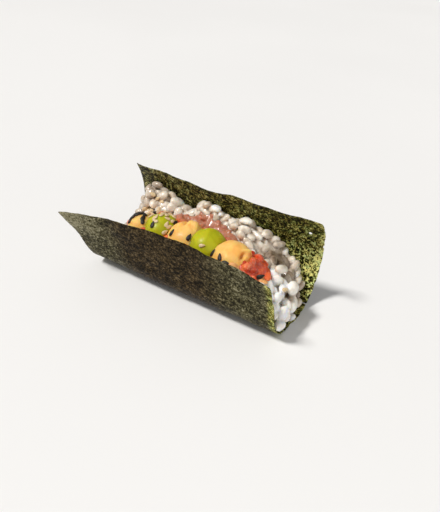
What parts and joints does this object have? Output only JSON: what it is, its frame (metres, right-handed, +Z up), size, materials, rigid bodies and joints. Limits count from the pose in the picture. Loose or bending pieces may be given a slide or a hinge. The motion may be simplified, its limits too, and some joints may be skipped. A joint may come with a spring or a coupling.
{
  "type": "temaki hand roll",
  "caption": "Open hand roll: a trough of toasted nori filled with sushi rice, chopped tuna and a row of piped mayonnaise dollops under sesame seeds.",
  "frame": {"origin": "centre of the bounding box's lower face, on the surface that the roll lies on", "axes": "+X along the roll towards its fuller end, +Y towards the taller rear flap, +Z up out of the trough"},
  "size_m": [0.101, 0.0522, 0.0442],
  "materials": {
    "nori": "toasted seaweed, dark green, fibrous, satin",
    "rice": "cooked short-grain rice, translucent and moist",
    "tuna": "chopped raw tuna, wet",
    "chilli_mayonnaise": "smooth pale orange cream, satin",
    "avocado_mayonnaise": "smooth lime green cream, glossy"
  },
  "bodies": {
    "root": {"nori_wrap": "nori", "rice": "rice", "tuna": "tuna", "dollop_chilli_1": "chilli_mayonnaise", "dollop_avocado_1": "avocado_mayonnaise", "dollop_chilli_2": "chilli_mayonnaise", "dollop_avocado_2": "avocado_mayonnaise", "dollop_chilli_3": "chilli_mayonnaise"}
  },
  "joints": []
}
